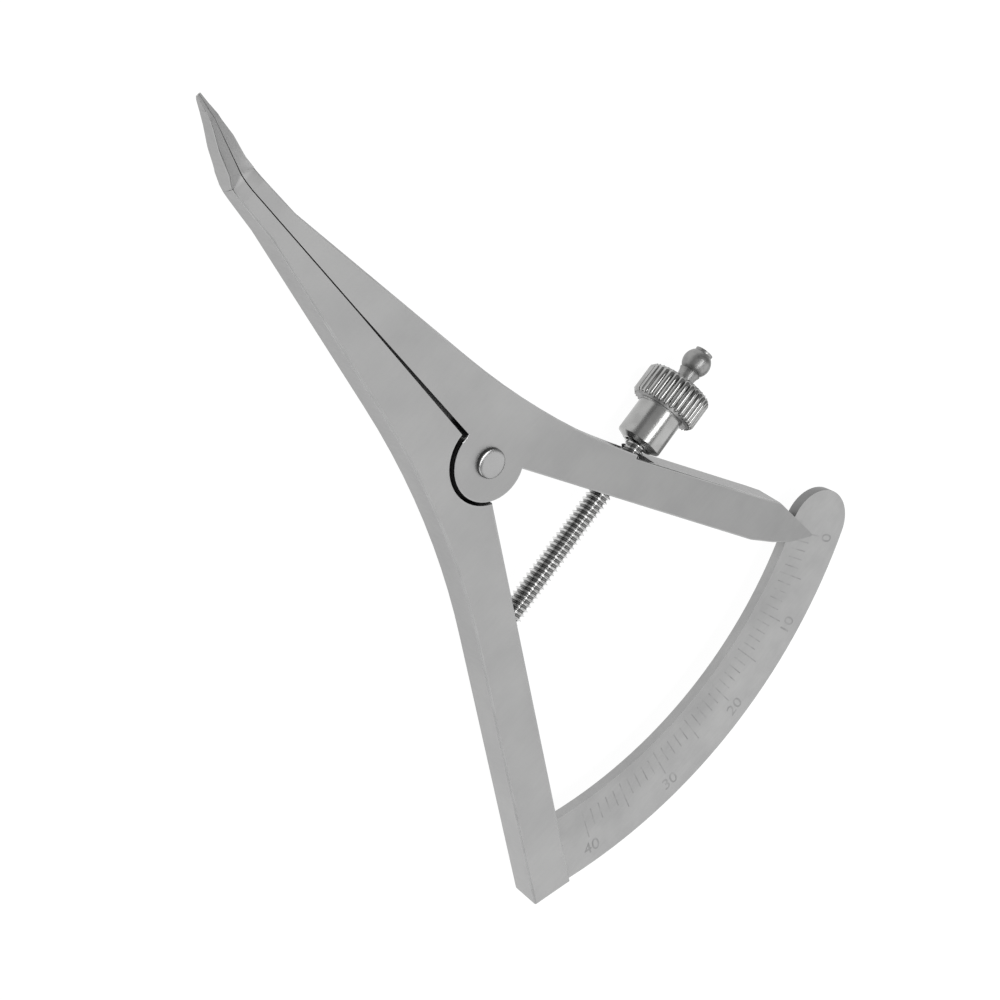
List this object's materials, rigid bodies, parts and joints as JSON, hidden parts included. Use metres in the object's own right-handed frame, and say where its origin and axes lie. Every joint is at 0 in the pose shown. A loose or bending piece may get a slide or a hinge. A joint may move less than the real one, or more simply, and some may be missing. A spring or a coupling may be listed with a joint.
{
  "type": "Castroviejo caliper",
  "caption": "Small hinged measuring caliper with raised needle tips, a graduated arc on one handle and a threaded rod with a knurled nut that sets the opening.",
  "frame": {"origin": "on the hinge axis, at the back face of the arms", "axes": "+Y along the slit to the tips, +X towards the pointer arm, +Z out of the graduated face, along the hinge axis"},
  "size_m": [0.0551, 0.0974, 0.0126],
  "materials": {
    "satin_steel": "satin ground stainless steel",
    "scale_steel": "satin stainless steel with dark filled graduations",
    "pin_steel": "ground flush with the arms",
    "bright_plate": "bright nickel plate on turned parts"
  },
  "bodies": {
    "scale_side": {"scale_arm": "satin_steel", "scale_arc": "scale_steel", "hinge_rivet": "pin_steel", "arc_pins": "pin_steel", "eye_pin": "pin_steel"},
    "pointer_side": {"pointer_arm": "satin_steel"},
    "rod_side": {"threaded_rod": "bright_plate", "stop_ball": "bright_plate"},
    "nut": {"knurled_nut": "bright_plate"}
  },
  "joints": [
    {"name": "arm_hinge", "type": "hinge", "parent": "scale_side", "child": "pointer_side", "pos_m": [0, 0, 0], "axis": [0, 0, -1], "range_deg": [0, 51]},
    {"name": "rod_swing", "type": "hinge", "parent": "scale_side", "child": "rod_side", "pos_m": [-0.01075, -0.01579, 0.00185], "axis": [0, 0, -1], "range_deg": [0, 12.75]},
    {"name": "nut_travel", "type": "slide", "parent": "rod_side", "child": "nut", "axis": [-0.9958, -0.092, 0], "range_m": [0, 0.0147]}
  ],
  "couplings": [
    {"joint": "rod_swing", "follows": "arm_hinge", "ratio": 0.25},
    {"joint": "nut_travel", "follows": "arm_hinge", "m_per_rad": 0.016514}
  ]
}
